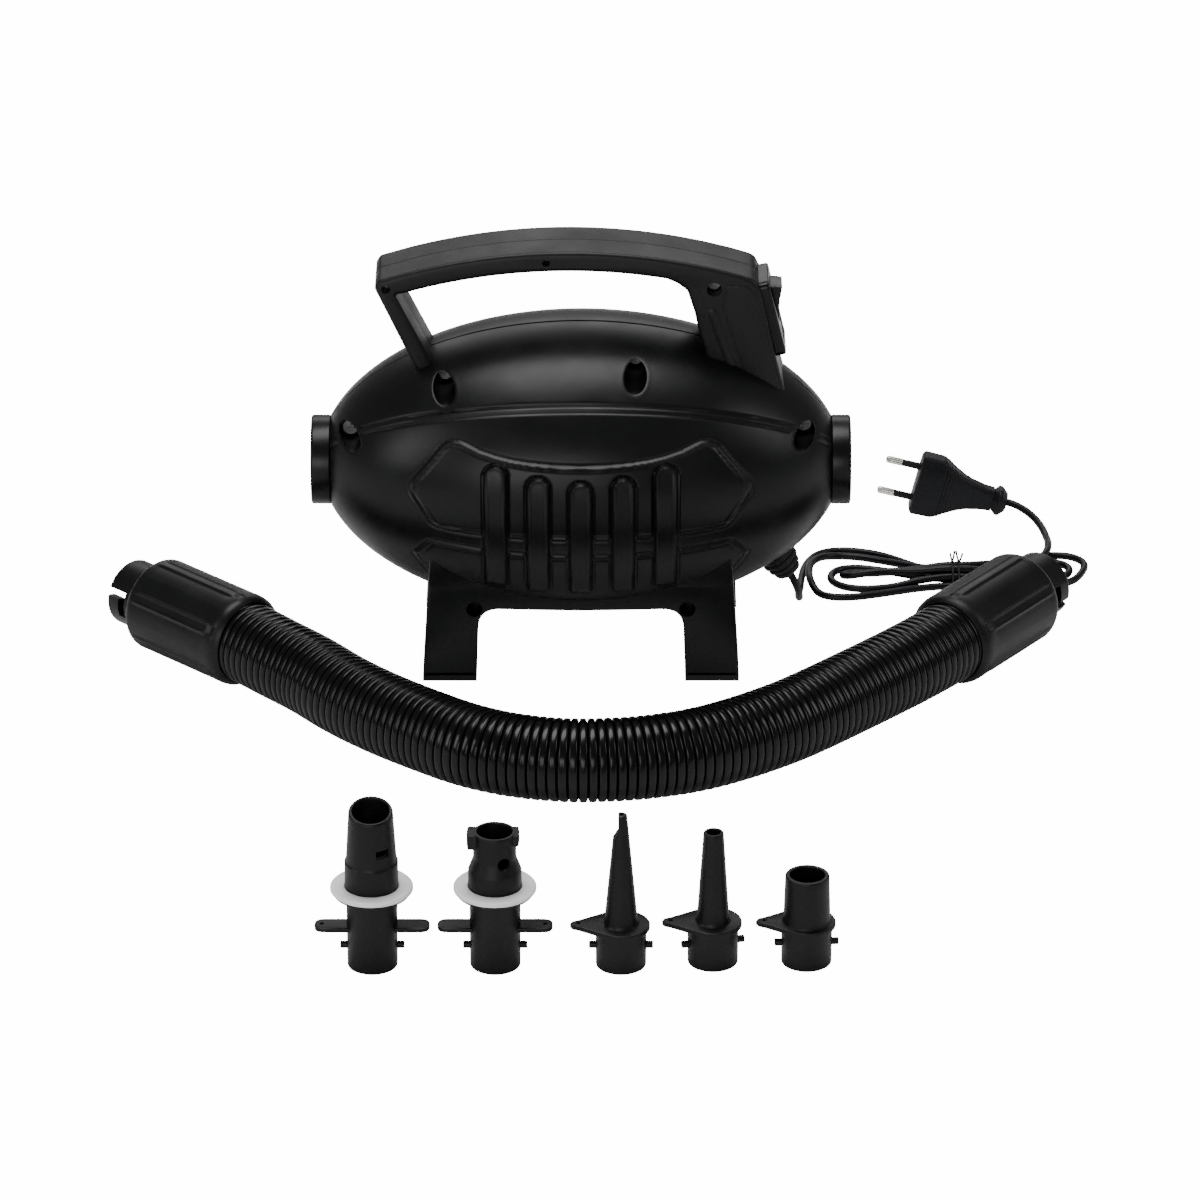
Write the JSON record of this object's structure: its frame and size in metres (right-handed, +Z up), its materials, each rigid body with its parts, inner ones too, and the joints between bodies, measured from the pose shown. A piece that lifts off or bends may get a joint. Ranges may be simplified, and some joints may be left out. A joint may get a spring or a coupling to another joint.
{
  "type": "electric air mattress pump",
  "caption": "Egg-shaped electric air pump with an arched handle and rocker switch, four legs, end sockets, mains lead, corrugated hose and push-in nozzles.",
  "frame": {"origin": "on the floor, under the middle of the pump's body, midway between its four feet", "axes": "+X along the body's axis towards the outlet socket, the switch and the cord; +Y towards the back; +Z up"},
  "size_m": [0.5155, 0.5419, 0.224],
  "materials": {
    "shell_plastic": "satin moulded black plastic with a fine grain",
    "handle_plastic": "satin moulded black plastic",
    "collar_plastic": "satin black plastic",
    "pad_rubber": "matt black rubber",
    "screw_steel": "dark zinc plate",
    "switch_plastic": "half-gloss black plastic",
    "inner_plastic": "plain grey-black plastic",
    "terminal_brass": "bright tinned brass",
    "core_steel": "stacked steel laminations",
    "copper_wire": "enamelled copper wire",
    "bracket_alloy": "die-cast alloy",
    "bolt_steel": "zinc-plated steel",
    "shaft_steel": "ground steel",
    "commutator_copper": "turned copper bars",
    "brush_board": "brown phenolic board",
    "carbon": "pressed carbon",
    "impeller_plastic": "natural nylon",
    "mount_rubber": "soft black rubber",
    "wire_skin": "coloured wire insulation",
    "gland_rubber": "soft black rubber",
    "cord_pvc": "smooth black cord jacket",
    "tie_plastic": "coated wire tie",
    "plug_pvc": "moulded black plug",
    "pin_sleeve": "black insulating sleeve",
    "pin_metal": "nickel-plated brass",
    "hose_plastic": "smooth black hose with bright ridges",
    "cuff_plastic": "satin black plastic",
    "nozzle_plastic": "matt black plastic",
    "gasket_white": "milky soft gasket"
  },
  "bodies": {
    "root": {"front_shell": "shell_plastic", "back_shell": "shell_plastic", "foot_pads": "pad_rubber", "shell_screws": "screw_steel", "handle_front": "handle_plastic", "handle_back": "handle_plastic", "handle_screws": "screw_steel", "inlet_collar": "collar_plastic", "outlet_collar": "collar_plastic", "inlet_grille": "inner_plastic", "outlet_grille": "inner_plastic", "switch_bezel": "switch_plastic", "switch_body": "inner_plastic", "switch_terminals": "terminal_brass", "stator_core": "core_steel", "field_coils": "copper_wire", "fan_end_bracket": "bracket_alloy", "rear_bracket": "bracket_alloy", "motor_bolts": "bolt_steel", "motor_bearings": "shaft_steel", "brush_holders": "brush_board", "carbon_brushes": "carbon", "fan_housing": "inner_plastic", "fan_mount_ring": "mount_rubber", "rear_mount_ring": "mount_rubber", "cord_clamp": "inner_plastic", "clamp_screws": "bolt_steel", "wiring": "wire_skin", "cord_gland": "gland_rubber", "cord_from_pump": "cord_pvc", "cord_hank": "cord_pvc", "cord_to_plug": "cord_pvc", "cord_tie": "tie_plastic", "plug_body": "plug_pvc", "plug_sleeves": "pin_sleeve", "plug_pins": "pin_metal"},
    "rotor": {"motor_shaft": "shaft_steel", "armature_core": "core_steel", "armature_winding": "copper_wire", "commutator": "commutator_copper", "impeller": "impeller_plastic", "impeller_nut": "bolt_steel"},
    "rocker": {"switch_rocker": "switch_plastic"},
    "hose": {"hose_tube": "hose_plastic", "hose_cuff_left": "cuff_plastic", "hose_cuff_right": "cuff_plastic"},
    "boston_valve_adapter": {"boston_nozzle": "nozzle_plastic", "boston_gasket": "gasket_white"},
    "lug_valve_adapter": {"lug_nozzle": "nozzle_plastic", "lug_gasket": "gasket_white"},
    "pinch_valve_nozzle": {"pinch_nozzle": "nozzle_plastic"},
    "taper_nozzle_set": {"taper_nozzle": "nozzle_plastic"},
    "wide_nozzle_set": {"wide_nozzle": "nozzle_plastic"}
  },
  "joints": [
    {"name": "rotor_spin", "type": "hinge", "parent": "root", "child": "rotor", "pos_m": [0, 0, 0.1], "axis": [1, 0, 0], "continuous": true},
    {"name": "rocker_tilt", "type": "hinge", "parent": "root", "child": "rocker", "pos_m": [0.09923, 0, 0.18512], "axis": [0, -1, 0], "range_deg": [0, 24]},
    {"name": "hose_lift", "type": "slide", "parent": "root", "child": "hose", "axis": [0, 0, 1], "range_m": [0, 0.12]},
    {"name": "boston_lift", "type": "slide", "parent": "root", "child": "boston_valve_adapter", "axis": [0, 0, 1], "range_m": [0, 0.1]},
    {"name": "lug_lift", "type": "slide", "parent": "root", "child": "lug_valve_adapter", "axis": [0, 0, 1], "range_m": [0, 0.1]},
    {"name": "pinch_lift", "type": "slide", "parent": "root", "child": "pinch_valve_nozzle", "axis": [0, 0, 1], "range_m": [0, 0.1]},
    {"name": "taper_lift", "type": "slide", "parent": "root", "child": "taper_nozzle_set", "axis": [0, 0, 1], "range_m": [0, 0.1]},
    {"name": "wide_lift", "type": "slide", "parent": "root", "child": "wide_nozzle_set", "axis": [0, 0, 1], "range_m": [0, 0.1]}
  ]
}
